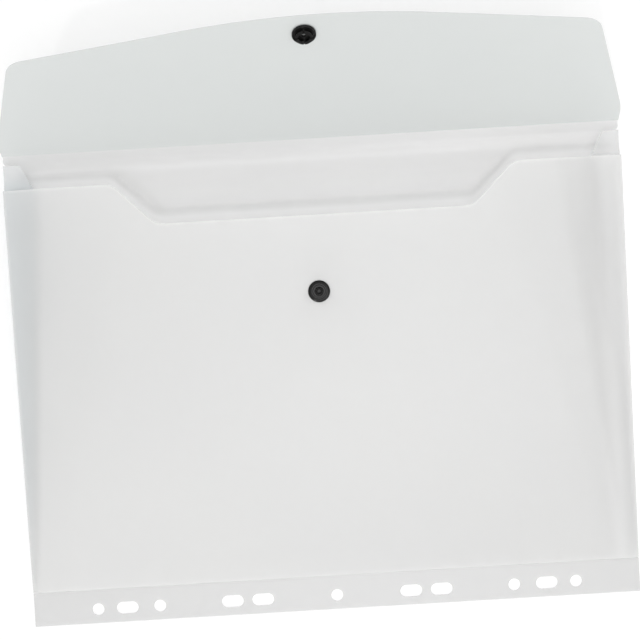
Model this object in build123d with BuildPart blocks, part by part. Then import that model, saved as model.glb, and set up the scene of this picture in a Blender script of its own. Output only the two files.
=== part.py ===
from build123d import *
from math import asin, atan, cos, degrees, pi, radians, sin, sqrt, tan
import os

# Document wallet of frosted film, A4 landscape, lying on its back with its pocket
# swelled and its flap raised. X runs along the width, Y from the filing strip to the
# flap and Z up from the table. The origin is the centre ring hole, on the back's face.

# Films and the free film at folds
panel_film = 0.3
gusset_film = 0.2
strip_film = 0.8
fold_gap = 0.15
crease_relief = 0.3

# Body
body_width = 304.0
strip_height = 17.0
pocket_depth = 213.5
front_height = 201.0
mouth_gap = 12.0
weld_relief = 0.2

# Filing strip: round holes and slots, each pair given by its spacing
ring_hole_diameter = 6.0
ring_hole_from_edge = 7.0
outer_ring_spacing = 240.0
inner_ring_spacing = 178.0
slot_length = 11.0
outer_slot_spacing = 210.6
middle_slot_spacing = 105.0
inner_slot_spacing = 74.4

# Swell of the filled front above its side folds
swell_height = 4.9
swell_margin = 6.0
swell_run = 40.0
swell_reach = 120.0
weld_slack = 0.15
section_count = 6

# Mouth cut-out in the front's top edge
mouth_floor_width = 155.0
mouth_top_width = 196.0
mouth_depth = 20.5
mouth_corner_radius = 10.0
cut_overlap = 2.0

# Folding sides
gusset_width = 15.0
gusset_inset = 0.6
leaf_start = 40.0
leaf_top_relief = 1.0
leaf_tail = 11.0
fold_relief = 0.9

# Spine and flap
flap_inset = 2.0
spine_rest_angle = 80.0
flap_rest_angle = 58.0
flap_straight = 9.0
flap_taper_angle = 18.0
flap_side_drop = 4.7
flap_edge_slope = 8.6
flap_corner_radius = 10.0
flap_shoulder_radius = 30.0
flap_nose_radius = 370.0

# Press stud
snap_diameter = 10.8
snap_cap_height = 1.3
snap_cap_edge = 0.4
post_diameter = 2.4
post_clearance = 0.1
film_hole_diameter = 3.2
stud_height = 143.0
stud_flange = 0.9
stud_groove_depth = 0.3
stud_groove_inner = 6.2
stud_groove_outer = 7.8
knob_diameter = 4.3
knob_neck_diameter = 3.9
knob_height = 1.9
knob_bulge_height = 1.3
knob_recess_diameter = 2.9
knob_recess_depth = 1.2
snap_gap = 0.5
socket_height = 3.0
socket_floor = 0.8
socket_rim_height = 1.2
socket_rim_width = 0.8
socket_ring_diameter = 7.8
socket_bore = 4.9
socket_lead = 0.3
socket_slit_width = 0.6
socket_slit_count = 4
rivet_head_diameter = 3.6
rivet_head_height = 0.5

# Places that follow from the sizes above
half_width = body_width / 2
flap_width = body_width - 2 * flap_inset
weld_y = strip_height - ring_hole_from_edge
strip_end = weld_y - weld_relief
crease_y = weld_y + pocket_depth
crease_z = panel_film / 2
fold_z = panel_film + fold_gap + gusset_film / 2
front_angle = asin(mouth_gap / front_height)
front_up = Vector(0, cos(front_angle), sin(front_angle))
front_out = Vector(0, -sin(front_angle), cos(front_angle))
front_corner = Vector(0, weld_y, fold_z)
front_lift = gusset_film / 2 + fold_gap
back_up = Vector(0, 1, 0)
ring_hole_places = [0.0] + [
    side * spacing / 2 for spacing in (outer_ring_spacing, inner_ring_spacing) for side in (-1, 1)
]
slot_places = [
    side * spacing / 2
    for spacing in (outer_slot_spacing, middle_slot_spacing, inner_slot_spacing)
    for side in (-1, 1)
]


def swell(above_weld):
    """How far the film stands out of the plane of the side folds, at a height above the weld."""
    filled = min(1.0, above_weld / swell_reach)
    return weld_slack + swell_height * sin(filled * pi / 2)


def front_point(above_weld, outwards):
    """A point on the middle of the front, at a height above the weld and out of the fold plane."""
    return front_corner + front_up * above_weld + front_out * outwards


# The socket has to meet the stud when the spine stands upright and the flap lies level
stud_seat = front_point(stud_height, front_lift + swell(stud_height) + panel_film)
knob_middle = stud_seat + front_out * (stud_flange + knob_height / 2)
snap_stack = stud_flange + snap_gap + socket_height
spine_height = stud_seat.Z + snap_stack + panel_film / 2 - crease_z
socket_reach = crease_y - knob_middle.Y
flap_side_height = socket_reach - flap_side_drop


def rising_plane(origin, angle):
    """A plane through a crease, its Y rising at the angle, its Z on the side that closes inwards."""
    turn = radians(angle)
    return Plane(origin, x_dir=(1, 0, 0), z_dir=(0, -sin(turn), cos(turn)))


spine_plane = rising_plane((0, crease_y, crease_z), spine_rest_angle)
flap_crease = spine_plane.from_local_coords((0, spine_height, 0))
flap_plane = rising_plane(flap_crease, flap_rest_angle)


def punch_filing_holes():
    """The ring holes and slots, cut from the sketch on the line through the origin."""
    with Locations(*[(place, 0) for place in ring_hole_places]):
        Circle(ring_hole_diameter / 2, mode=Mode.SUBTRACT)
    with Locations(*[(place, 0) for place in slot_places]):
        SlotOverall(slot_length, ring_hole_diameter, mode=Mode.SUBTRACT)


# Back panel: from the filing strip up to the lower crease
with BuildPart() as back_panel:
    back_end = crease_y - crease_relief
    with BuildSketch():
        with Locations((0, (strip_end + back_end) / 2)):
            Rectangle(body_width, back_end - strip_end)
    extrude(amount=panel_film)

# Filing strip: the layers below the pocket, welded into one
with BuildPart() as binder_strip:
    with BuildSketch():
        with Locations((0, (strip_end - ring_hole_from_edge) / 2)):
            Rectangle(body_width, strip_end + ring_hole_from_edge)
        punch_filing_holes()
    extrude(amount=strip_film)


def front_section(above_weld):
    """The film across the front: flat margins, two arcs up each side and a level middle."""
    rise = swell(above_weld)
    foot = half_width - swell_margin
    crest = foot - swell_run
    middle = (foot + crest) / 2
    origin = front_point(above_weld, front_lift)
    with BuildSketch(Plane(origin, x_dir=(1, 0, 0), z_dir=front_up * -1)) as section:
        with BuildLine():
            for level in (0, panel_film):
                Line((-crest, level + rise), (crest, level + rise))
                for side in (-1, 1):
                    Line((side * half_width, level), (side * foot, level))
                    lower = TangentArc(
                        (side * foot, level), (side * middle, level + rise / 2), tangent=(-side, 0)
                    )
                    TangentArc(lower @ 1, (side * crest, level + rise), tangent=lower % 1)
            for side in (-1, 1):
                Line((side * half_width, 0), (side * half_width, panel_film))
        make_face()
    return section.sketch


# Front panel: swells from the weld up to its full height, runs straight on to the top,
# and has the mouth and the stud's hole cut out
with BuildPart() as front_panel:
    panel_top = front_height + cut_overlap
    section_step = (swell_reach - weld_relief) / (section_count - 1)
    loft([front_section(weld_relief + section_step * index) for index in range(section_count)])
    extrude(front_section(swell_reach), amount=swell_reach - panel_top)
    mouth_plane = Plane(front_point(front_height, 0), x_dir=(1, 0, 0), z_dir=front_out)
    with BuildSketch(mouth_plane):
        with BuildLine():
            beyond = half_width + cut_overlap
            Polyline(
                (-beyond, 2 * cut_overlap),
                (-beyond, 0),
                (-mouth_top_width / 2, 0),
                (-mouth_floor_width / 2, -mouth_depth),
                (mouth_floor_width / 2, -mouth_depth),
                (mouth_top_width / 2, 0),
                (beyond, 0),
                (beyond, 2 * cut_overlap),
                close=True,
            )
        mouth = make_face()
        lips = mouth.vertices().filter_by_position(Axis.X, -half_width, half_width)
        fillet(lips, mouth_corner_radius)
        with Locations((0, stud_height - front_height)):
            Circle(film_hole_diameter / 2)
    extrude(amount=front_lift + swell(panel_top) + cut_overlap, mode=Mode.SUBTRACT)

# Folding sides: two flat leaves a side. Their folds all meet in the bottom corner of the
# pocket, so the leaves stay flat while the front rises and sinks.
fold_angle = atan(gusset_width / front_height)
fold_rise = cos(fold_angle) / cos(front_angle / 2)
fold_inward = sqrt(1 - fold_rise**2)


def fold_direction(side):
    """The inner fold of a side, from the bottom corner: halfway between back and front."""
    rise = fold_rise * sin(front_angle / 2)
    return Vector(-side * fold_inward, fold_rise * cos(front_angle / 2), rise)


def gusset_leaf(side, panel_edge):
    """A flat leaf from the panel's side edge to the inner fold, cut back beside the fold.
    Its outer edge runs on past the front's top, towards the end of the flap's crease."""
    corner = Vector(side * (half_width - gusset_inset), weld_y, fold_z)
    fold = fold_direction(side)
    inward = (fold - panel_edge * fold.dot(panel_edge)).normalized()
    leaf_top = front_height - leaf_top_relief
    with BuildPart() as leaf:
        with BuildSketch(Plane(corner, x_dir=panel_edge, z_dir=panel_edge.cross(inward))):
            with BuildLine():
                Polyline(
                    (leaf_start, 0),
                    (front_height + leaf_tail, 0),
                    (leaf_top, leaf_top * tan(fold_angle) - fold_relief),
                    (leaf_start, leaf_start * tan(fold_angle) - fold_relief),
                    close=True,
                )
            make_face()
        extrude(amount=gusset_film / 2, both=True)
    return leaf


left_gusset_rear_leaf = gusset_leaf(-1, back_up)
left_gusset_front_leaf = gusset_leaf(-1, front_up)
right_gusset_rear_leaf = gusset_leaf(1, back_up)
right_gusset_front_leaf = gusset_leaf(1, front_up)

# Spine: the band between the two creases, as wide as the filled pocket is thick
with BuildPart() as spine_panel:
    with BuildSketch(spine_plane):
        with Locations((0, spine_height / 2)):
            Rectangle(flap_width, spine_height - 2 * crease_relief)
    extrude(amount=panel_film / 2, both=True)

# Flap: sides that draw in, rounded corners and a shallow nose over the press stud
with BuildPart() as flap_panel:
    draw_in = (flap_side_height - flap_straight) * tan(radians(flap_taper_angle))
    corner_x = flap_width / 2 - draw_in
    nose_y = flap_side_height + corner_x * tan(radians(flap_edge_slope))
    with BuildSketch(flap_plane) as tongue:
        with BuildLine():
            Polyline(
                (-flap_width / 2, crease_relief),
                (flap_width / 2, crease_relief),
                (flap_width / 2, flap_straight),
                (corner_x, flap_side_height),
                (0, nose_y),
                (-corner_x, flap_side_height),
                (-flap_width / 2, flap_straight),
                close=True,
            )
        make_face()
        fillet(tongue.vertices().group_by(Axis.Y)[-2], flap_corner_radius)
        fillet(tongue.vertices().group_by(Axis.Y)[-1], flap_nose_radius)
        fillet(tongue.vertices().group_by(Axis.Y)[1], flap_shoulder_radius)
        with Locations((0, socket_reach)):
            Circle(film_hole_diameter / 2, mode=Mode.SUBTRACT)
    extrude(amount=panel_film / 2, both=True)


def snap_cap(seat, post_length, head_radius, head_height):
    """A domed cap below its seat, with a post through the film and a head at the post's end."""
    radius = snap_diameter / 2
    post = post_diameter / 2
    below = panel_film
    profile = Plane(seat.origin, x_dir=seat.x_dir, z_dir=seat.y_dir * -1)
    with BuildPart() as cap:
        with BuildSketch(profile):
            with BuildLine():
                dome = ThreePointArc(
                    (0, -below - snap_cap_height),
                    (radius * sin(pi / 4), -below - snap_cap_edge - dome_rise(sin(pi / 4))),
                    (radius, -below - snap_cap_edge),
                )
                Polyline(
                    dome @ 1,
                    (radius, -below),
                    (post, -below),
                    (post, post_length),
                    (head_radius, post_length),
                    (head_radius, post_length + head_height),
                    (0, post_length + head_height),
                    dome @ 0,
                )
            make_face()
        revolve(axis=Axis(seat.origin, seat.z_dir))
    return cap


def dome_rise(share):
    """Height of the cap's dome above its edge at a share of its radius, on one arc."""
    radius = snap_diameter / 2
    crown = snap_cap_height - snap_cap_edge
    sphere = (radius**2 + crown**2) / (2 * crown)
    return sqrt(sphere**2 - (radius * share) ** 2) - (sphere - crown)


# Press stud: socket and its cap on the flap, knob and its cap on the front
socket_seat = Plane(
    flap_plane.from_local_coords((0, socket_reach, panel_film / 2)),
    x_dir=(1, 0, 0),
    z_dir=flap_plane.z_dir,
)
knob_seat = Plane(stud_seat, x_dir=(1, 0, 0), z_dir=front_out)

with BuildPart() as flap_socket:
    flange_radius = snap_diameter / 2
    ring_radius = socket_ring_diameter / 2
    bore_radius = socket_bore / 2
    hole_radius = post_diameter / 2 + post_clearance
    rim_radius = flange_radius - socket_rim_width
    profile = Plane(socket_seat.origin, x_dir=(1, 0, 0), z_dir=socket_seat.y_dir * -1)
    with BuildSketch(profile):
        with BuildLine():
            Polyline(
                (hole_radius, 0),
                (flange_radius, 0),
                (flange_radius, socket_rim_height),
                (rim_radius, socket_rim_height),
                (rim_radius, socket_floor),
                (ring_radius, socket_floor),
                (ring_radius, socket_height),
                (bore_radius + socket_lead, socket_height),
                (bore_radius, socket_height - socket_lead),
                (bore_radius, socket_floor),
                (hole_radius, socket_floor),
                close=True,
            )
        make_face()
    revolve(axis=Axis(socket_seat.origin, socket_seat.z_dir))
    with BuildSketch(socket_seat.offset(socket_rim_height)):
        with PolarLocations((bore_radius + ring_radius) / 2, socket_slit_count):
            Rectangle(ring_radius - bore_radius + socket_lead, socket_slit_width)
    extrude(amount=socket_height, mode=Mode.SUBTRACT)

with BuildPart() as front_stud:
    flange_radius = snap_diameter / 2
    neck_radius = knob_neck_diameter / 2
    hole_radius = post_diameter / 2 + post_clearance
    groove_floor = stud_flange - stud_groove_depth
    knob_top = stud_flange + knob_height
    bulge = stud_flange + knob_bulge_height
    recess_radius = knob_recess_diameter / 2
    recess_floor = knob_top - knob_recess_depth
    profile = Plane(knob_seat.origin, x_dir=(1, 0, 0), z_dir=knob_seat.y_dir * -1)
    with BuildSketch(profile):
        with BuildLine():
            Polyline(
                (hole_radius, 0),
                (flange_radius, 0),
                (flange_radius, stud_flange),
                (stud_groove_outer / 2, stud_flange),
                (stud_groove_outer / 2, groove_floor),
                (stud_groove_inner / 2, groove_floor),
                (stud_groove_inner / 2, stud_flange),
                (neck_radius, stud_flange),
                (knob_diameter / 2, bulge),
                (neck_radius, knob_top),
                (recess_radius, knob_top),
                (recess_radius, recess_floor),
                (hole_radius, recess_floor),
                close=True,
            )
        make_face()
    revolve(axis=Axis(knob_seat.origin, knob_seat.z_dir))

socket_cap = snap_cap(socket_seat, socket_floor, rivet_head_diameter / 2, rivet_head_height)
stud_cap = snap_cap(
    knob_seat,
    stud_flange + knob_height - knob_recess_depth,
    knob_recess_diameter / 2 - post_clearance,
    rivet_head_height,
)

pieces = {
    "back_panel": back_panel,
    "binder_strip": binder_strip,
    "front_panel": front_panel,
    "front_stud": front_stud,
    "stud_cap": stud_cap,
    "left_gusset_rear_leaf": left_gusset_rear_leaf,
    "left_gusset_front_leaf": left_gusset_front_leaf,
    "right_gusset_rear_leaf": right_gusset_rear_leaf,
    "right_gusset_front_leaf": right_gusset_front_leaf,
    "spine_panel": spine_panel,
    "flap_panel": flap_panel,
    "flap_socket": flap_socket,
    "socket_cap": socket_cap,
}
os.makedirs("parts", exist_ok=True)
for name, piece in pieces.items():
    piece.part.label = name
    export_step(piece.part, f"parts/{name}.step")

print(f"front angle {degrees(front_angle):.3f} deg, spine height {spine_height:.2f} mm")
print(f"flap crease at y {flap_crease.Y:.2f} z {flap_crease.Z:.2f}, socket reach {socket_reach:.2f} mm")
print(f"knob seat y {stud_seat.Y:.2f} z {stud_seat.Z:.2f}, spine crease y {crease_y:.2f} mm")
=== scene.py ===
from math import asin, atan, cos, pi, radians, sin, sqrt, tan

import bpy
import numpy as np
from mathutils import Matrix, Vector


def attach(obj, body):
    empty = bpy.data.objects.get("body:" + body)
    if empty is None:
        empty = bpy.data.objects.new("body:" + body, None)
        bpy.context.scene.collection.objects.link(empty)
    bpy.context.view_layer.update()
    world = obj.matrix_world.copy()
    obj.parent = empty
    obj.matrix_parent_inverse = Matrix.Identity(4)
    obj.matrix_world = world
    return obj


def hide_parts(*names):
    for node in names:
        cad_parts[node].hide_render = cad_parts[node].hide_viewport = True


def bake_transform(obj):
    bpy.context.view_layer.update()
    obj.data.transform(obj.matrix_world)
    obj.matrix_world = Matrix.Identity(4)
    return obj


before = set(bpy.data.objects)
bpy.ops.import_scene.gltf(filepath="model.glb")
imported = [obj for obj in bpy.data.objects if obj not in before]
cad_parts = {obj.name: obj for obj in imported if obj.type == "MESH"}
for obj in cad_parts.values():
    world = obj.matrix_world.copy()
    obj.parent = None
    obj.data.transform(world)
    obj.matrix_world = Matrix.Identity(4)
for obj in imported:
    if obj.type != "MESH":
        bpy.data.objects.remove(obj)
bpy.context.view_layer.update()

# Sizes in millimetres, as the solids have them
MM = 0.001
PANEL_FILM = 0.3
GUSSET_FILM = 0.2
FOLD_GAP = 0.15
HALF_WIDTH = 152.0
POCKET_DEPTH = 213.5
WELD_Y = 10.0
WELD_SLACK = 0.15
WELD_RELIEF = 0.2
CREASE_Y = WELD_Y + POCKET_DEPTH
CREASE_Z = PANEL_FILM / 2
FOLD_Z = PANEL_FILM + FOLD_GAP + GUSSET_FILM / 2
FRONT_HEIGHT = 201.0
MOUTH_GAP = 12.0
FRONT_ANGLE = asin(MOUTH_GAP / FRONT_HEIGHT)
FRONT_LIFT = GUSSET_FILM / 2 + FOLD_GAP
SWELL_HEIGHT = 4.9
MOUTH_FLOOR = 155.0
MOUTH_TOP = 196.0
MOUTH_DEPTH = 20.5
MOUTH_ROUND = 10.0
GUSSET_WIDTH = 15.0
GUSSET_INSET = 0.6
SPINE_HEIGHT = 19.082
SPINE_ANGLE = radians(80.0)
STUD_HEIGHT = 143.0
SOCKET_REACH = 71.2
FLAP_INSET = 2.0
FLAP_HALF = HALF_WIDTH - FLAP_INSET
FLAP_ANGLE = radians(58.0)
FLAP_STRAIGHT = 9.0
FLAP_TAPER = radians(18.0)
FLAP_SIDE_DROP = 4.7
FLAP_SIDE = SOCKET_REACH - FLAP_SIDE_DROP
FLAP_SLOPE = radians(8.6)
SNAP_RADIUS = 5.4
SNAP_CAP_HEIGHT = 1.3
SNAP_CAP_EDGE = 0.4
POST_RADIUS = 1.2
POST_CLEARANCE = 0.1
SNAP_HOLE = POST_RADIUS + POST_CLEARANCE
RIVET_HEAD = 0.5
KNOB_FLOOR = 1.6
KNOB_HOLLOW = 1.45
KNOB_RIVET = KNOB_HOLLOW - POST_CLEARANCE
SOCKET_FLOOR = 0.8
SOCKET_RIVET = 1.8

# Sizes in millimetres that only the dressed pieces have
SWELL_REACH = 100.0
LEFT_CREASES = (0.0, 18.0, 60.0)
LEFT_SHARES = (0.0, 0.82, 1.0)
RIGHT_CREASES = (0.0, 9.0, 31.0, 62.0)
RIGHT_SHARES = (0.0, 0.05, 0.88, 1.0)
CREASE_ROUND = 3.0
BEND_REACH = 6.5
STEP_IN_START = 8.0
STEP_IN_RUN = 10.0
EAR_RISE = 13.0
FLAP_TWIST = radians(3.0)
DIMPLE_RADIUS = 1.0
DIMPLE_DEPTH = 1.7

# How finely round corners are divided, and which edges stay sharp
ARC_STEPS = 24
FINE_ARC_STEPS = 6
SHARP_ANGLE = radians(40.0)

front_foot = np.array([0.0, WELD_Y, FOLD_Z])
front_up = np.array([0.0, cos(FRONT_ANGLE), sin(FRONT_ANGLE)])
front_out = np.array([0.0, -sin(FRONT_ANGLE), cos(FRONT_ANGLE)])
spine_up = np.array([0.0, cos(SPINE_ANGLE), sin(SPINE_ANGLE)])
flap_up = np.array([0.0, cos(FLAP_ANGLE), sin(FLAP_ANGLE)])
flap_in = np.array([0.0, -sin(FLAP_ANGLE), cos(FLAP_ANGLE)])
back_crease = np.array([0.0, CREASE_Y, CREASE_Z])
flap_crease = back_crease + SPINE_HEIGHT * spine_up


def smooth(t):
    """Zero below 0, one above 1, an S curve between."""
    t = np.clip(t, 0.0, 1.0)
    return t * t * (3.0 - 2.0 * t)


def spaced(count, margin):
    """Even steps from 0 to 1 with one more close to each end, at the margin from it."""
    inner = np.linspace(margin, 1.0 - margin, count)
    return np.concatenate([[0.0], inner, [1.0]])


def rounded_path(corners, radii, steps=ARC_STEPS):
    """A line through the corners with an arc of its own radius at each inner one: the arc starts and ends
    radius * tan(half turn) from the corner, and its points are the start turned about the arc's centre."""
    corners = np.asarray(corners, float)
    runs = [corners[:1]]
    for here, before, after, radius in zip(corners[1:-1], corners[:-2], corners[2:], radii):
        come = (here - before) / np.linalg.norm(here - before)
        go = (after - here) / np.linalg.norm(after - here)
        turn = np.arctan2(come[0] * go[1] - come[1] * go[0], come @ go)
        side = np.array([-come[1], come[0]]) * np.sign(turn)
        start = here - come * radius * tan(abs(turn) / 2)
        centre = start + side * radius
        angle = np.linspace(0.0, turn, steps)[:, None]
        arm = start - centre
        turned = np.array([-arm[1], arm[0]])
        runs.append(centre + arm * np.cos(angle) + turned * np.sin(angle))
    runs.append(corners[-1:])
    return np.concatenate(runs)


def along(path, share):
    """Points on a line at the given shares of its length."""
    step = np.linalg.norm(np.diff(path, axis=0), axis=1)
    length = np.concatenate([[0.0], np.cumsum(step)])
    return np.stack([np.interp(share * length[-1], length, axis) for axis in path.T], -1)


def put_mesh(name, points, faces):
    """A smooth-shaded piece from points in millimetres and faces, with its sharp edges kept."""
    mesh = bpy.data.meshes.new(name)
    mesh.from_pydata((points * MM).tolist(), [], faces)
    mesh.shade_smooth()
    mesh.set_sharp_from_angle(angle=SHARP_ANGLE)
    piece = bpy.data.objects.new(name, mesh)
    bpy.context.scene.collection.objects.link(piece)
    return piece


def film(name, middle, thickness, edge=None, painted_mask=None):
    """A sheet of film from a grid of points on its middle: both faces stand half the thickness off along
    the grid's normal, which is the cross product of its two differences, and four strips close the rim.
    The edge grid and the painted mask of light and shade go with the points for the material."""
    normal = np.cross(np.gradient(middle, axis=0), np.gradient(middle, axis=1))
    normal /= np.linalg.norm(normal, axis=2, keepdims=True)
    upper = middle + normal * thickness / 2
    lower = middle - normal * thickness / 2
    shape = middle.shape[:2]
    under = shape[0] * shape[1]
    index = np.arange(under).reshape(shape)
    here, beside, above, beyond = index[:-1, :-1], index[1:, :-1], index[:-1, 1:], index[1:, 1:]
    rim = np.concatenate([index[:-1, 0], index[-1, :-1], index[:0:-1, -1], index[0, :0:-1]])
    after = np.roll(rim, -1)
    quads = np.concatenate([
        np.stack([here, beside, beyond, above], -1).reshape(-1, 4),
        np.stack([here, above, beyond, beside], -1).reshape(-1, 4) + under,
        np.stack([rim, rim + under, after + under, after], -1),
    ])
    points = np.concatenate([upper.reshape(-1, 3), lower.reshape(-1, 3)])
    piece = put_mesh(name, points, quads.tolist())
    for label, grid in (("edge", edge), ("painted_mask", painted_mask)):
        if grid is not None:
            values = np.tile(np.broadcast_to(grid, shape).reshape(-1), 2).astype(np.float32)
            piece.data.attributes.new(label, "FLOAT", "POINT").data.foreach_set("value", values)
    return piece


def swell(height):
    """How far the front stands out of its side folds at a height above the weld: a quarter sine."""
    return WELD_SLACK + SWELL_HEIGHT * np.sin(np.clip(height / SWELL_REACH, 0.0, 1.0) * pi / 2)


def side_rise(inset, spread, places, shares):
    """Share of the swell at a distance from a side edge: straight runs between the given places, which draw
    together towards the bottom corner by the spread, with each bend rounded by a mean over a few
    millimetres."""
    samples = 9
    shifts = np.linspace(-CREASE_ROUND, CREASE_ROUND, samples)
    insets = [np.maximum(inset + shift * spread, 0.0) for shift in shifts]
    even = sum(np.interp(moved / spread, places, shares) for moved in insets) / samples
    return even * smooth(inset / (CREASE_ROUND * spread))


def mouth_lip():
    """The front's upper edge in its own plane, from side to side: level, down into the mouth and up again."""
    half_top, half_floor = MOUTH_TOP / 2, MOUTH_FLOOR / 2
    floor = FRONT_HEIGHT - MOUTH_DEPTH
    return rounded_path(
        [(-HALF_WIDTH, FRONT_HEIGHT), (-half_top, FRONT_HEIGHT), (-half_floor, floor),
         (half_floor, floor), (half_top, FRONT_HEIGHT), (HALF_WIDTH, FRONT_HEIGHT)],
        [MOUTH_ROUND] * 4,
    )


def front_film():
    """The front: columns straight up from the weld to the mouth's edge. Out of the fold plane it stands the
    lift plus the swell times a share across the width: it leaves the side edge, bends at a soft crease and
    runs on to the level middle. The creases fan out of the bottom corners. Round the press stud the film is
    drawn in, a shallow valley runs up from it, and a slight wave, the product of two sines, crosses the
    rest. The painted mask is a bell across the right margin, which paints the film paler there as painted
    light."""
    corner_spread, fan_power = 0.12, 0.8
    slack_height, slack_reach = 0.45, 18.0
    valley_depth, valley_half, valley_start, valley_run = 0.4, 11.0, 6.0, 25.0
    wave_height, wave_width, wave_lean, wave_rise, wave_shift, wave_start = 0.22, 37.0, 90.0, 41.0, 0.6, 30.0
    edge_width = 1.6
    margin_middle, margin_half = 8.0, 6.0
    columns, side_margin = 230, 0.0018
    weld_rows, lip_rows = [0.0, 0.003], [0.989, 0.992, 0.995, 0.998, 1.0]
    even_rows = np.linspace(0.008, 0.985, 110)

    lip = mouth_lip()
    x = (2.0 * spaced(columns, side_margin) - 1.0) * HALF_WIDTH
    top = np.interp(x, lip[:, 0], lip[:, 1])[:, None]
    share = np.concatenate([weld_rows, even_rows, lip_rows])
    height = WELD_RELIEF + share[None, :] * (top - WELD_RELIEF)
    x = np.broadcast_to(x[:, None], height.shape)
    fan = np.clip(height / FRONT_HEIGHT, 0.0, 1.0) ** fan_power
    spread = corner_spread + (1.0 - corner_spread) * fan
    left = side_rise(HALF_WIDTH + x, spread, LEFT_CREASES, LEFT_SHARES)
    right = side_rise(HALF_WIDTH - x, spread, RIGHT_CREASES, RIGHT_SHARES)
    rise = np.minimum(left, right)
    from_stud = np.hypot(x, height - STUD_HEIGHT)
    slack = slack_height * (1.0 - np.exp(-((from_stud / slack_reach) ** 2))) * rise
    above_stud = smooth((height - STUD_HEIGHT - valley_start) / valley_run)
    valley = valley_depth * np.exp(-((x / valley_half) ** 2)) * above_stud
    ripple = np.sin(x / wave_width + height / wave_lean) * np.sin(height / wave_rise + wave_shift)
    wave = wave_height * rise * ripple * smooth(from_stud / wave_start)
    out = FRONT_LIFT + PANEL_FILM / 2 + swell(height) * rise + slack - valley + wave
    place = front_foot + height[..., None] * front_up + out[..., None] * front_out
    place[..., 0] = x
    edge = 1.0 - smooth((top - height) / edge_width)
    # painted light: a bell across the right margin, which makes the front's film paler there
    painted_mask = np.exp(-(((HALF_WIDTH - x - margin_middle) / margin_half) ** 2))
    return film("front_film", place, PANEL_FILM, edge=edge, painted_mask=painted_mask)


def flap_film():
    """The flap: a patch between its crease, its sides and its nose, where each point is the sum of the two
    ruled surfaces less the one through the corners. The sheet rises at an angle that changes along the
    crease."""
    side_round, corner_round, nose_round = 30.0, 10.0, 370.0
    columns, side_margin, rows, end_margin = 180, 0.0016, 60, 0.006
    corner = FLAP_HALF - (FLAP_SIDE - FLAP_STRAIGHT) * tan(FLAP_TAPER)
    nose = FLAP_SIDE + corner * tan(FLAP_SLOPE)
    outline = rounded_path(
        [(-FLAP_HALF, 0.0), (-FLAP_HALF, FLAP_STRAIGHT), (-corner, FLAP_SIDE), (0.0, nose),
         (corner, FLAP_SIDE), (FLAP_HALF, FLAP_STRAIGHT), (FLAP_HALF, 0.0)],
        [side_round, corner_round, nose_round, corner_round, side_round],
    )
    left_corner = 1 + ARC_STEPS + ARC_STEPS // 2
    right_corner = len(outline) - 1 - left_corner
    u, v = spaced(columns, side_margin), spaced(rows, end_margin)
    left = along(outline[: left_corner + 1], v)
    top = along(outline[left_corner : right_corner + 1], u)
    right = along(outline[right_corner:][::-1], v)
    bottom = np.stack([(2.0 * u - 1.0) * FLAP_HALF, np.zeros_like(u)], -1)
    u, v = u[:, None, None], v[None, :, None]
    ruled = (1 - v) * bottom[:, None] + v * top[:, None] + (1 - u) * left[None] + u * right[None]
    left_line = (1 - v) * bottom[0] + v * top[0]
    right_line = (1 - v) * bottom[-1] + v * top[-1]
    flat = ruled - ((1 - u) * left_line + u * right_line)
    x, height = flat[..., 0], flat[..., 1]
    angle = FLAP_ANGLE - FLAP_TWIST * x / FLAP_HALF
    y = flap_crease[1] + height * np.cos(angle)
    z = flap_crease[2] + height * np.sin(angle)
    edge = np.zeros(x.shape)
    edge[[0, -1], :] = 1.0
    edge[:, -1] = 1.0
    return film("flap_film", np.stack([x, y, z], -1), PANEL_FILM, edge=edge)


def painted_light_by_mouth(place):
    """Painted light: the mask of a paler strip of film along the mouth, which lifts the shade that the front
    casts on the back there. It is full a little past the front's edge, and falls off along an S curve on
    both sides, more slowly towards the crease. The strip runs slightly wider than the mouth."""
    strength, widening = 1.38, 1.028
    near_side, near_fade = 1.0, 3.0
    far_side, far_fade = 2.5, 8.5
    lip = mouth_lip()
    lip_height = np.interp(place[..., 0] / widening, lip[:, 0], lip[:, 1])
    past_lip = place[..., 1] - WELD_Y - cos(FRONT_ANGLE) * lip_height
    near, far = (near_side - past_lip) / near_fade, (past_lip - far_side) / far_fade
    return strength * (1.0 - smooth(np.where(past_lip < near_side, near, far)))


def painted_light_by_crease(place):
    """Painted light: the mask of a paler band under the flap's crease, where the spine takes more light; full
    near the crease, falling off down the spine along an S curve, and growing from left to right along
    another."""
    full_reach, fade = 13.0, 14.0
    left_strength, gain, gain_start, gain_run = 0.75, 0.65, -60.0, 170.0
    from_crease = np.linalg.norm((place - flap_crease)[..., 1:], axis=-1)
    strength = left_strength + gain * smooth((place[..., 0] - gain_start) / gain_run)
    return (1.0 - smooth((from_crease - full_reach) / fade)) * strength


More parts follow.
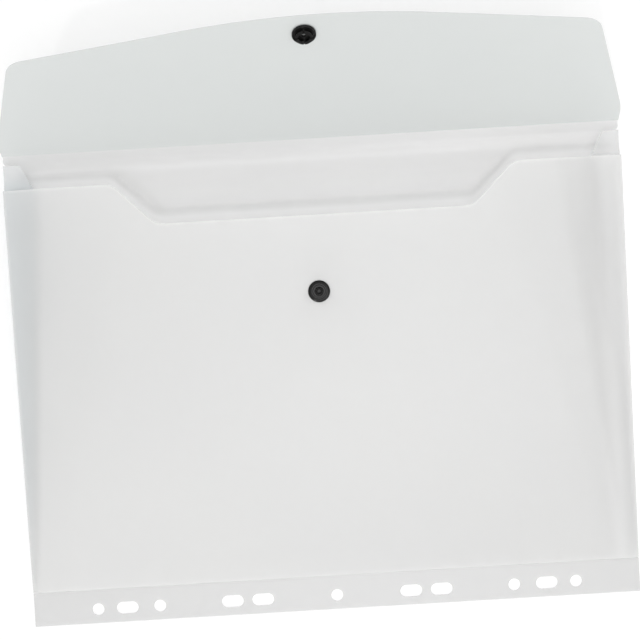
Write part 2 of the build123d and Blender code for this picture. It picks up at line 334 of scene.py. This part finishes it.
def back_film():
    """The back and the spine in one sheet: a profile carried along the width. It lies flat from the weld,
    turns up along a parabola whose corner is the lower crease, and runs straight to the flap's crease. On
    its way up the spine the sheet steps in from the body's width to the flap's. Its rows are closer under
    the mouth, where the painted light changes. The sheet comes with the two ends of its bend."""
    columns, side_margin = 180, 0.0016
    pocket_rows, mouth_rows, mouth_share, bend_rows, spine_rows = 50, 42, 0.82, 14, 24
    start = np.array([0.0, CREASE_Y - BEND_REACH, CREASE_Z])
    end = back_crease + BEND_REACH * spine_up
    foot = np.array([0.0, WELD_Y - WELD_RELIEF, CREASE_Z])
    pocket = np.linspace(0.0, mouth_share, pocket_rows)
    mouth = np.linspace(mouth_share, 1.0, mouth_rows)
    flat = foot + np.concatenate([pocket, mouth[1:]])[:, None] * (start - foot)
    t = np.linspace(0.0, 1.0, bend_rows)[:, None]
    bend = (1 - t) ** 2 * start + 2 * t * (1 - t) * back_crease + t**2 * end
    straight = end + np.linspace(0.0, 1.0, spine_rows)[1:, None] * (flap_crease - end)
    profile = np.concatenate([flat[:-1], bend, straight])
    across = 2.0 * spaced(columns, side_margin) - 1.0
    step_in = smooth((profile[:, 2] - STEP_IN_START) / STEP_IN_RUN)
    half = HALF_WIDTH + (FLAP_HALF - HALF_WIDTH) * step_in
    place = np.broadcast_to(profile[None], (len(across), len(profile), 3)).copy()
    place[..., 0] = across[:, None] * half[None, :]
    # painted light: paler strips of back film along the mouth and under the flap's crease
    painted_mask = np.maximum(painted_light_by_mouth(place), painted_light_by_crease(place))
    return film("back_film", place, PANEL_FILM, painted_mask=painted_mask), start, end


def gusset_film(name, side):
    """A folded side: a cone of sections from the pocket's bottom corner. Each section runs from the back's
    edge to the inner fold and on to the front's edge, with the fold rounded as a parabola. Past the front's
    edge the front leaf runs on as an ear, which curls out with the square of its length. The painted mask
    of shade grows up the side from near the bottom and fades again on the ear: on the left it paints the
    fold darker and bluer, on the right it makes the film clearer. The film comes with the two ends of its
    turn at the fold."""
    leaf_steps, turn_steps, rows = 12, 7, 80
    fold_round, ear_share = 0.06, 0.5
    foot, top_gap, rear_rise = 4.0, 1.0, 2.0
    curl_reach, curl_out, curl_in = 16.0, 5.2, 1.2
    shade_start, shade_run, shade_end, shade_fade = 10.0, 70.0, FRONT_HEIGHT - 4.0, 14.0
    turn_half = 0.3

    slope = atan(GUSSET_WIDTH / FRONT_HEIGHT)
    rise = cos(slope) / cos(FRONT_ANGLE / 2)
    inward = -side * sqrt(1 - rise**2)
    fold = np.array([inward, rise * cos(FRONT_ANGLE / 2), rise * sin(FRONT_ANGLE / 2)])
    corner = np.array([side * (HALF_WIDTH - GUSSET_INSET), WELD_Y, FOLD_Z])
    rear = FRONT_HEIGHT * np.array([0.0, 1.0, 0.0])
    front = FRONT_HEIGHT * front_up
    inner = FRONT_HEIGHT / cos(slope) * fold
    leaf = np.linspace(fold_round, 1.0, leaf_steps)
    turn = np.linspace(-fold_round, fold_round, turn_steps)[1:-1]
    w = np.concatenate([-leaf[::-1], turn, leaf])
    reach = np.where(np.abs(w) < fold_round, fold_round / 2 + w**2 / (2 * fold_round), np.abs(w))
    share = np.clip(0.5 + w / (2 * fold_round), 0.0, 1.0)[:, None]
    section = inner + reach[:, None] * ((1 - share) * (rear - inner) + share * (front - inner))
    outer = np.clip(w / ear_share, 0.0, 1.0)[:, None]
    top = FRONT_HEIGHT - top_gap + rear_rise * np.maximum(-w, 0.0)[:, None] + EAR_RISE * outer
    height = foot + np.linspace(0.0, 1.0, rows)[None, :] * (top - foot)
    place = corner + height[..., None] / FRONT_HEIGHT * section[:, None, :]
    past = np.clip((height - FRONT_HEIGHT) / curl_reach, 0.0, 1.0) * outer
    place += curl_out * (past**2)[..., None] * front_out
    place[..., 0] -= side * curl_in * past
    # painted shade: grows up the side from near the bottom and fades on the ear
    shade = smooth((height - shade_start) / shade_run) * (1.0 - smooth((height - shade_end) / shade_fade))
    if side > 0:
        place, shade = place[::-1], shade[::-1]
    piece = film(name, place, GUSSET_FILM, painted_mask=shade)
    across = np.array([0.0, 0.0, 1.0]) - fold[2] * fold
    across /= np.linalg.norm(across)
    middle = corner + inner / 2
    return piece, middle - turn_half * across, middle + turn_half * across


def stand_on(seat, out, radius, angle, height):
    """Points given as radius, angle and height about a seat's axis, put in place."""
    side = np.array([1.0, 0.0, 0.0])
    up = np.cross(out, side)
    radius, angle, height = (grid[..., None] for grid in np.broadcast_arrays(radius, angle, height))
    return seat + radius * np.cos(angle) * side + radius * np.sin(angle) * up + height * out


def turned(profile, seat, out, count=96):
    """A profile of radius and height turned about the seat's axis: the points, the index of each by turn
    and place on the profile, and the index of its neighbour at the next turn."""
    angle = np.linspace(0.0, 2.0 * pi, count, endpoint=False)[:, None]
    points = stand_on(seat, out, profile[:, 0], angle, profile[:, 1])
    index = np.arange(count * len(profile)).reshape(count, len(profile))
    return points.reshape(-1, 3), index, np.roll(index, -1, axis=0)


def turned_ring(profile, seat, out):
    """A closed profile turned about the seat's axis: a torus of quads."""
    points, here, beside = turned(profile, seat, out)
    quads = np.stack([here, beside, np.roll(beside, -1, axis=1), np.roll(here, -1, axis=1)], -1)
    return points, quads.reshape(-1, 4).tolist()


def turned_solid(profile, seat, out):
    """A profile that starts and ends on the axis, turned about it: rings of quads closed by two fans."""
    points, here, beside = turned(profile[1:-1], seat, out)
    poles = seat + profile[[0, -1], 1][:, None] * out
    quads = np.stack([here[:, :-1], beside[:, :-1], beside[:, 1:], here[:, 1:]], -1).reshape(-1, 4)
    pole = np.full(len(here), len(points))
    first = np.stack([pole, beside[:, 0], here[:, 0]], -1)
    last = np.stack([pole + 1, here[:, -1], beside[:, -1]], -1)
    return np.concatenate([points, poles]), quads.tolist() + first.tolist() + last.tolist()


def closed_round(corners):
    """A closed profile from corners of radius, height and rounding: the path starts and ends halfway along
    its first side."""
    corners = np.asarray(corners, float)
    places, roundings = corners[:, :2], corners[:, 2]
    middle = (places[0] + places[1]) / 2
    path = np.concatenate([[middle], places[1:], places[:1], [middle]])
    return rounded_path(path, np.roll(roundings, -1), steps=FINE_ARC_STEPS)[:-1]


def snap_cap(name, seat, out, head_radius, head_floor):
    """The cap of a press-stud half: a shallow dome under the film, a post through it and a rivet head with
    the dimple that the setting tool leaves. The dome's height over a radius is a sphere's."""
    edge_inset, edge_rise, dome_steps = 0.12, 0.08, 24
    roundings = [0.06, 0.1, 0.05, 0.05, 0.05, 0.15, 0.15, 0.2]
    crown = SNAP_CAP_HEIGHT - SNAP_CAP_EDGE
    sphere = (SNAP_RADIUS**2 + crown**2) / (2.0 * crown)
    radius = np.linspace(0.0, SNAP_RADIUS - edge_inset, dome_steps)
    drop = np.sqrt(sphere**2 - radius**2) - sphere + crown
    dome = np.stack([radius, -PANEL_FILM - SNAP_CAP_EDGE - drop], -1)
    head_top = head_floor + RIVET_HEAD
    dimple_floor = head_top - DIMPLE_DEPTH
    rest = rounded_path(
        [dome[-1], (SNAP_RADIUS, dome[-1, 1] + edge_rise), (SNAP_RADIUS, -PANEL_FILM),
         (POST_RADIUS, -PANEL_FILM), (POST_RADIUS, head_floor), (head_radius, head_floor),
         (head_radius, head_top), (DIMPLE_RADIUS, head_top), (DIMPLE_RADIUS, dimple_floor),
         (0.0, dimple_floor)],
        roundings, steps=FINE_ARC_STEPS,
    )
    return put_mesh(name, *turned_solid(np.concatenate([dome, rest[1:]]), seat, out))


def knob_half(name, seat, out):
    """The half with the knob: a flange that slopes down to its rim and has a ring groove, and a waisted knob
    with a rounded shoulder and a hollow top."""
    flange, flange_rim, groove_floor = 0.9, 0.65, 0.6
    groove_outer, groove_inner = 3.9, 3.1
    waist, shoulder, crest = 1.95, 2.15, 1.85
    waist_foot, shoulder_height, crest_height = 0.75, 2.1, 2.8
    profile = closed_round([
        (SNAP_HOLE, 0.0, 0.03), (SNAP_RADIUS, 0.0, 0.1), (SNAP_RADIUS, flange_rim, 0.3),
        (groove_outer, flange, 0.12), (groove_outer, groove_floor, 0.1),
        (groove_inner, groove_floor, 0.1), (groove_inner, flange, 0.12),
        (waist, waist_foot, 0.2), (shoulder, shoulder_height, 0.3), (crest, crest_height, 0.4),
        (KNOB_HOLLOW, crest_height, 0.12), (KNOB_HOLLOW, KNOB_FLOOR, 0.03), (SNAP_HOLE, KNOB_FLOOR, 0.03),
    ])
    return put_mesh(name, *turned_ring(profile, seat, out))


def socket_half(name, seat, out):
    """The half with the socket: a rimmed base, and a spring ring cut in four by slits with level sides. A
    ring quarter is its profile turned from one slit to the next, where the slit takes an arcsine of its half
    width over the radius from the angle."""
    rim, top, lead = 1.2, 3.0, 0.3
    bore, ring, rim_inner = 2.45, 3.9, 4.6
    slit_half, slit_count, quarter_steps = 0.3, 4, 22
    base = closed_round([
        (SNAP_HOLE, 0.0, 0.03), (SNAP_RADIUS, 0.0, 0.1), (SNAP_RADIUS, rim, 0.3), (rim_inner, rim, 0.15),
        (rim_inner, SOCKET_FLOOR, 0.12), (ring, SOCKET_FLOOR, 0.12), (ring, rim, 0.02), (bore, rim, 0.02),
        (bore, SOCKET_FLOOR, 0.1), (SNAP_HOLE, SOCKET_FLOOR, 0.03),
    ])
    points, faces = turned_ring(base, seat, out)
    quarter = closed_round([
        (bore, rim, 0.02), (ring, rim, 0.02), (ring, top, 0.3), (bore + lead, top, 0.12),
        (bore, top - lead, 0.12),
    ])
    slit = np.arcsin(slit_half / quarter[:, 0])
    share = np.linspace(0.0, 1.0, quarter_steps)[:, None]
    pitch = 2.0 * pi / slit_count
    for turn in np.arange(slit_count) * pitch:
        angle = turn + slit + share * (pitch - 2.0 * slit)
        index = np.arange(angle.size).reshape(angle.shape) + len(points)
        around = np.roll(index, -1, axis=1)
        quads = np.stack([index[:-1], index[1:], around[1:], around[:-1]], -1).reshape(-1, 4)
        placed = stand_on(seat, out, quarter[:, 0], angle, quarter[:, 1])
        points = np.concatenate([points, placed.reshape(-1, 3)])
        faces = faces + quads.tolist() + [index[0].tolist(), index[-1, ::-1].tolist()]
    return put_mesh(name, points, faces)


def put_node(tree, kind, **values):
    """A node of a kind in the tree, with its values set on its own sockets or settings."""
    node = tree.nodes.new(kind)
    for key, value in values.items():
        if key in node.inputs:
            node.inputs[key].default_value = value
        else:
            setattr(node, key, value)
    return node


def new_material(name):
    """An empty node material, and its tree."""
    material = bpy.data.materials.new(name)
    material.use_nodes = True
    material.node_tree.nodes.clear()
    return material, material.node_tree


def set_share(tree, socket, base, changes):
    """A mixing share: the base, plus a gain times each of the given values."""
    socket.default_value = base
    total = None
    for value, gain in changes:
        step = put_node(tree, "ShaderNodeMath", operation="MULTIPLY_ADD", use_clamp=True)
        tree.links.new(value, step.inputs[0])
        step.inputs[1].default_value = gain
        step.inputs[2].default_value = base
        if total:
            tree.links.new(total, step.inputs[2])
        total = step.outputs["Value"]
    if total:
        tree.links.new(total, socket)


def ramp_colours(ramp, low, high):
    """Sets the two colours of a ramp."""
    for element, colour in zip(ramp.color_ramp.elements, (low, high)):
        element.color = (*colour, 1.0)


def blend_colour(tree, colour, other, factor):
    """The colour, going over to another as the factor grows."""
    mix = put_node(tree, "ShaderNodeMix", data_type="RGBA")
    mix.inputs["B"].default_value = (*other, 1.0)
    tree.links.new(factor, mix.inputs["Factor"])
    tree.links.new(colour, mix.inputs["A"])
    return mix.outputs["Result"]


def film_relief(tree, place):
    """The film's surface: a fine grain over a slow ripple, as a bump."""
    ripple_share = 3.0
    grain = put_node(tree, "ShaderNodeTexNoise", Scale=2600.0, Detail=2.0, Roughness=0.6)
    tree.links.new(place, grain.inputs["Vector"])
    ripple = put_node(tree, "ShaderNodeTexNoise", Scale=60.0, Detail=1.0)
    tree.links.new(place, ripple.inputs["Vector"])
    relief = put_node(tree, "ShaderNodeMath", operation="MULTIPLY_ADD")
    tree.links.new(ripple.outputs["Fac"], relief.inputs[0])
    relief.inputs[1].default_value = ripple_share
    tree.links.new(grain.outputs["Fac"], relief.inputs[2])
    bump = put_node(tree, "ShaderNodeBump", Strength=0.35, Distance=0.00003)
    tree.links.new(relief.outputs["Value"], bump.inputs["Height"])
    return bump.outputs["Normal"]


def frosted_film(name, tint, opacity, through, painted_shade_colour=None, painted_paling=None, cut_edge=False):
    """Frosted film: a satin face over light that spreads as it passes, part of it passing straight. Where the
    painted mask is high it takes the painted shade colour when one is given; with painted paling it grows
    paler and denser as painted light, and clearer when the paling is negative. Along a cut edge it is
    denser, and its colour is darkened as painted shade."""
    hazy, cut_edge_shade, cut_through, cut_opacity = (0.988, 0.988, 0.991), 0.95, 0.2, 0.1
    material, tree = new_material(name)
    link = tree.links.new
    place = put_node(tree, "ShaderNodeTexCoord").outputs["Object"]

    haze = put_node(tree, "ShaderNodeTexNoise", Scale=14.0, Detail=3.0, Roughness=0.5)
    link(place, haze.inputs["Vector"])
    tone = put_node(tree, "ShaderNodeValToRGB")
    tone.color_ramp.elements[0].position = 0.3
    tone.color_ramp.elements[1].position = 0.7
    ramp_colours(tone, [part * haziness for part, haziness in zip(tint, hazy)], tint)
    link(haze.outputs["Fac"], tone.inputs["Fac"])
    colour = tone.outputs["Color"]

    through_changes, opacity_changes = [], []
    if painted_shade_colour or painted_paling:
        painted_mask = put_node(tree, "ShaderNodeAttribute", attribute_name="painted_mask").outputs["Fac"]
    # painted shade: the colour goes over to a darker one where the mask is high
    if painted_shade_colour:
        colour = blend_colour(tree, colour, painted_shade_colour, painted_mask)
    # painted light: paler and denser film where the mask is high, clearer where the paling is negative
    if painted_paling:
        through_changes.append((painted_mask, -painted_paling))
        opacity_changes.append((painted_mask, painted_paling))
    if cut_edge:
        edge = put_node(tree, "ShaderNodeAttribute", attribute_name="edge").outputs["Fac"]
        # painted shade: a darker colour along the cut edge
        colour = blend_colour(tree, colour, [part * cut_edge_shade for part in tint], edge)
        through_changes.append((edge, -cut_through * through))
        opacity_changes.append((edge, cut_opacity))

    relief = film_relief(tree, place)
    satin = put_node(tree, "ShaderNodeMapRange", **{"To Min": 0.4, "To Max": 0.5})
    link(haze.outputs["Fac"], satin.inputs["Value"])
    face = put_node(tree, "ShaderNodeBsdfPrincipled", **{"IOR": 1.49, "Specular IOR Level": 0.5})
    link(colour, face.inputs["Base Color"])
    link(satin.outputs["Result"], face.inputs["Roughness"])
    link(relief, face.inputs["Normal"])
    spread = put_node(tree, "ShaderNodeBsdfTranslucent")
    link(colour, spread.inputs["Color"])
    body = put_node(tree, "ShaderNodeMixShader")
    set_share(tree, body.inputs[0], through, through_changes)
    link(face.outputs["BSDF"], body.inputs[1])
    link(spread.outputs["BSDF"], body.inputs[2])
    clear = put_node(tree, "ShaderNodeBsdfTransparent")
    sheet = put_node(tree, "ShaderNodeMixShader")
    set_share(tree, sheet.inputs[0], opacity, opacity_changes)
    link(clear.outputs["BSDF"], sheet.inputs[1])
    link(body.outputs["Shader"], sheet.inputs[2])
    sheen = put_node(tree, "ShaderNodeBsdfGlossy", Color=(1.0, 1.0, 1.0, 1.0))
    link(satin.outputs["Result"], sheen.inputs["Roughness"])
    link(relief, sheen.inputs["Normal"])
    glazed = put_node(tree, "ShaderNodeMixShader", Fac=0.06)
    link(sheet.outputs["Shader"], glazed.inputs[1])
    link(sheen.outputs["BSDF"], glazed.inputs[2])
    out = put_node(tree, "ShaderNodeOutputMaterial")
    link(glazed.outputs["Shader"], out.inputs["Surface"])
    return material


def snap_black(name):
    """Moulded black plastic: dark, glossy, with a fine mould grain."""
    material, tree = new_material(name)
    link = tree.links.new
    place = put_node(tree, "ShaderNodeTexCoord").outputs["Object"]
    grain = put_node(tree, "ShaderNodeTexNoise", Scale=3000.0, Detail=3.0)
    link(place, grain.inputs["Vector"])
    tone = put_node(tree, "ShaderNodeValToRGB")
    ramp_colours(tone, (0.004, 0.004, 0.004), (0.01, 0.01, 0.0095))
    link(grain.outputs["Fac"], tone.inputs["Fac"])
    sheen = put_node(tree, "ShaderNodeMapRange", **{"To Min": 0.12, "To Max": 0.22})
    link(grain.outputs["Fac"], sheen.inputs["Value"])
    bump = put_node(tree, "ShaderNodeBump", Strength=0.2, Distance=0.00003)
    link(grain.outputs["Fac"], bump.inputs["Height"])
    face = put_node(tree, "ShaderNodeBsdfPrincipled", **{"IOR": 1.5, "Specular IOR Level": 0.2})
    link(tone.outputs["Color"], face.inputs["Base Color"])
    link(sheen.outputs["Result"], face.inputs["Roughness"])
    link(bump.outputs["Normal"], face.inputs["Normal"])
    out = put_node(tree, "ShaderNodeOutputMaterial")
    link(face.outputs["BSDF"], out.inputs["Surface"])
    return material


def dress(piece, material):
    """Gives a piece its one material and the slot it takes its finish from."""
    piece.data.materials.clear()
    piece.data.materials.append(material)


# The sheets are one film; their tints and masks paint light and shade: the flap darker, the left side darker
# and bluer, paler strips on the front and back.
front_sheet = frosted_film(
    "frosted_front_film", tint=(0.999, 0.999, 0.994), opacity=0.42, through=0.6, painted_paling=0.15, cut_edge=True
)
back_sheet = frosted_film(
    "frosted_back_film", tint=(0.983, 0.983, 0.98), opacity=0.42, through=0.82, painted_paling=0.45
)
# painted shade: the flap is tinted darker than the rest of the same film, for the shade its slope takes
flap_sheet = frosted_film(
    "frosted_flap_film", tint=(0.917, 0.941, 0.931), opacity=0.6, through=0.6, cut_edge=True
)
# painted shade: the left side is tinted darker and bluer than the right, and darker still up its fold
left_sheet = frosted_film(
    "frosted_left_side_film", tint=(0.94, 0.952, 0.957), opacity=0.45, through=0.7, painted_shade_colour=(0.74, 0.79, 0.81)
)
# painted light: the right side is made clearer where its mask is high, and stays denser on its ear
right_sheet = frosted_film(
    "frosted_right_side_film", tint=(0.985, 0.988, 0.988), opacity=0.3, through=0.8, painted_paling=-0.13
)
strip_sheet = frosted_film("frosted_strip_film", tint=(0.957, 0.957, 0.954), opacity=0.5, through=0.8)
black = snap_black("black_snap_plastic")

front = front_film()
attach(front, "front")
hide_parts("front_panel")
dress(front, front_sheet)

flap = flap_film()
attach(flap, "flap")
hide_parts("flap_panel")
dress(flap, flap_sheet)

back, bend_start, bend_end = back_film()
dress(back, back_sheet)
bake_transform(back)
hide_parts("back_panel", "spine_panel")

for side, word, gusset_sheet in ((-1, "left", left_sheet), (1, "right", right_sheet)):
    gusset, turn_start, turn_end = gusset_film(f"{word}_gusset_film", side)
    dress(gusset, gusset_sheet)
    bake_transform(gusset)
    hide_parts(f"{word}_gusset_rear_leaf", f"{word}_gusset_front_leaf")

dress(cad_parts["binder_strip"], strip_sheet)

knob_stand = FRONT_LIFT + WELD_SLACK + SWELL_HEIGHT + PANEL_FILM
knob_seat = front_foot + STUD_HEIGHT * front_up + knob_stand * front_out
socket_seat = flap_crease + SOCKET_REACH * flap_up + PANEL_FILM / 2 * flap_in
knob = knob_half("knob_half", knob_seat, front_out)
knob_cap = snap_cap("knob_cap", knob_seat, front_out, KNOB_RIVET, KNOB_FLOOR)
socket = socket_half("socket_half", socket_seat, flap_in)
socket_cap = snap_cap("socket_cap_dome", socket_seat, flap_in, SOCKET_RIVET, SOCKET_FLOOR)
for half, body, node in (
    (knob, "front", "front_stud"),
    (knob_cap, "front", "stud_cap"),
    (socket, "flap", "flap_socket"),
    (socket_cap, "flap", "socket_cap"),
):
    dress(half, black)
    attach(half, body)
    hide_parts(node)


def table():
    """The pale floor, just under the back: it scatters light, and to the camera it adds what makes it white,
    a little more farther off, where the lamps don't reach. Its places are in metres."""
    reach, drop = 4.0, 0.0002
    near, far, near_lift, far_lift = 0.45, 1.8, 0.28, 0.36
    mesh = bpy.data.meshes.new("table")
    sides = ((-reach, -reach), (reach, -reach), (reach, reach), (-reach, reach))
    mesh.from_pydata([(x, y, -drop) for x, y in sides], [], [(0, 1, 2, 3)])
    floor = bpy.data.objects.new("table", mesh)
    bpy.context.scene.collection.objects.link(floor)
    material, tree = new_material("pale_table")
    link = tree.links.new
    face = put_node(tree, "ShaderNodeBsdfDiffuse", Color=(0.76, 0.76, 0.76, 1.0))
    place = put_node(tree, "ShaderNodeTexCoord").outputs["Object"]
    distance = put_node(tree, "ShaderNodeVectorMath", operation="LENGTH")
    link(place, distance.inputs[0])
    level = put_node(
        tree, "ShaderNodeMapRange",
        **{"From Min": near, "From Max": far, "To Min": near_lift, "To Max": far_lift},
    )
    link(distance.outputs["Value"], level.inputs["Value"])
    lift = put_node(tree, "ShaderNodeEmission")
    link(level.outputs["Result"], lift.inputs["Strength"])
    none = put_node(tree, "ShaderNodeEmission", Strength=0.0)
    ray = put_node(tree, "ShaderNodeLightPath")
    bare = put_node(tree, "ShaderNodeMath", operation="SUBTRACT", use_clamp=True)
    link(ray.outputs["Is Camera Ray"], bare.inputs[0])
    link(ray.outputs["Transparent Depth"], bare.inputs[1])
    seen = put_node(tree, "ShaderNodeMixShader")
    link(bare.outputs["Value"], seen.inputs[0])
    link(none.outputs["Emission"], seen.inputs[1])
    link(lift.outputs["Emission"], seen.inputs[2])
    both = put_node(tree, "ShaderNodeAddShader")
    link(face.outputs["BSDF"], both.inputs[0])
    link(seen.outputs["Shader"], both.inputs[1])
    out = put_node(tree, "ShaderNodeOutputMaterial")
    link(both.outputs["Shader"], out.inputs["Surface"])
    mesh.materials.append(material)


def seen_ray(tree):
    """One for what the eye meets: straight rays, reflections, and rays through the film that don't spread."""
    link = tree.links.new
    ray = put_node(tree, "ShaderNodeLightPath")
    straight = put_node(tree, "ShaderNodeMath", operation="SUBTRACT", use_clamp=True)
    link(ray.outputs["Is Transmission Ray"], straight.inputs[0])
    link(ray.outputs["Is Diffuse Ray"], straight.inputs[1])
    shown = put_node(tree, "ShaderNodeMath", operation="MAXIMUM")
    link(ray.outputs["Is Camera Ray"], shown.inputs[0])
    link(ray.outputs["Is Glossy Ray"], shown.inputs[1])
    seen = put_node(tree, "ShaderNodeMath", operation="MAXIMUM")
    link(shown.outputs["Value"], seen.inputs[0])
    link(straight.outputs["Value"], seen.inputs[1])
    return seen.outputs["Value"]


def surround():
    """A white surround, white to the eye, that lights the wallet softly and most from low on the strip's
    side. Its strength in a direction is a base plus a gain times the squared cosine from the brightest
    point."""
    brightest = Vector((0.05, -0.9, 0.42)).normalized()
    base, gain = 0.71, 0.36
    world = bpy.data.worlds.new("studio")
    bpy.context.scene.world = world
    world.use_nodes = True
    tree = world.node_tree
    tree.nodes.clear()
    link = tree.links.new
    towards = put_node(tree, "ShaderNodeTexCoord").outputs["Generated"]
    cosine = put_node(tree, "ShaderNodeVectorMath", operation="DOT_PRODUCT")
    link(towards, cosine.inputs[0])
    cosine.inputs[1].default_value = brightest
    facing = put_node(tree, "ShaderNodeMath", operation="MAXIMUM")
    link(cosine.outputs["Value"], facing.inputs[0])
    facing.inputs[1].default_value = 0.0
    squared = put_node(tree, "ShaderNodeMath", operation="POWER")
    link(facing.outputs["Value"], squared.inputs[0])
    squared.inputs[1].default_value = 2.0
    level = put_node(tree, "ShaderNodeMath", operation="MULTIPLY_ADD")
    link(squared.outputs["Value"], level.inputs[0])
    level.inputs[1].default_value = gain
    level.inputs[2].default_value = base
    soft = put_node(tree, "ShaderNodeBackground", Color=(1.0, 1.0, 1.0, 1.0))
    link(level.outputs["Value"], soft.inputs["Strength"])
    white = put_node(tree, "ShaderNodeBackground", Color=(1.0, 1.0, 1.0, 1.0), Strength=1.0)
    pick = put_node(tree, "ShaderNodeMixShader")
    link(seen_ray(tree), pick.inputs[0])
    link(soft.outputs["Background"], pick.inputs[1])
    link(white.outputs["Background"], pick.inputs[2])
    out = put_node(tree, "ShaderNodeOutputWorld")
    link(pick.outputs["Shader"], out.inputs["Surface"])


def hang(light, place, target):
    """Puts a light at a place in metres, turned to the target."""
    lamp = bpy.data.objects.new(light.name, light)
    bpy.context.scene.collection.objects.link(lamp)
    lamp.location = place
    lamp.rotation_euler = (Vector(place) - Vector(target)).to_track_quat("Z", "Y").to_euler()
    return lamp


def lamps():
    """A weak sun from the strip's side and a little from the left, and a soft square lamp overhead that the
    camera doesn't see."""
    key = bpy.data.lights.new("key", "SUN")
    key.angle = radians(2.5)
    key.energy = 0.22
    hang(key, place=(-0.19, -0.46, 0.867), target=(0.0, 0.0, 0.0))
    softbox = bpy.data.lights.new("softbox", "AREA")
    softbox.shape = "SQUARE"
    softbox.size = 0.5
    softbox.energy = 2.65
    panel = hang(softbox, place=(0.1, -0.08, 1.25), target=(0.03, 0.1, 0.0))
    panel.visible_camera = False


def camera():
    """The photograph's view: nearly straight down, a little turned. The lens is the focal length in pixels,
    carried to the sensor's width."""
    sensor_width, picture_pixels, focal_pixels = 36.0, 640.0, 1263.9
    place, turn_degrees = (-0.00032, 0.1430, 0.6336), (-0.432, 0.009, -3.422)
    eye = bpy.data.cameras.new("camera")
    eye.sensor_fit = "HORIZONTAL"
    eye.sensor_width = sensor_width
    eye.lens = sensor_width * focal_pixels / picture_pixels
    view = bpy.data.objects.new("camera", eye)
    bpy.context.scene.collection.objects.link(view)
    view.location = place
    view.rotation_mode = "ZYX"
    view.rotation_euler = [radians(turn) for turn in turn_degrees]
    bpy.context.scene.camera = view


table()
surround()
lamps()
camera()
bpy.context.scene.view_settings.view_transform = "Standard"
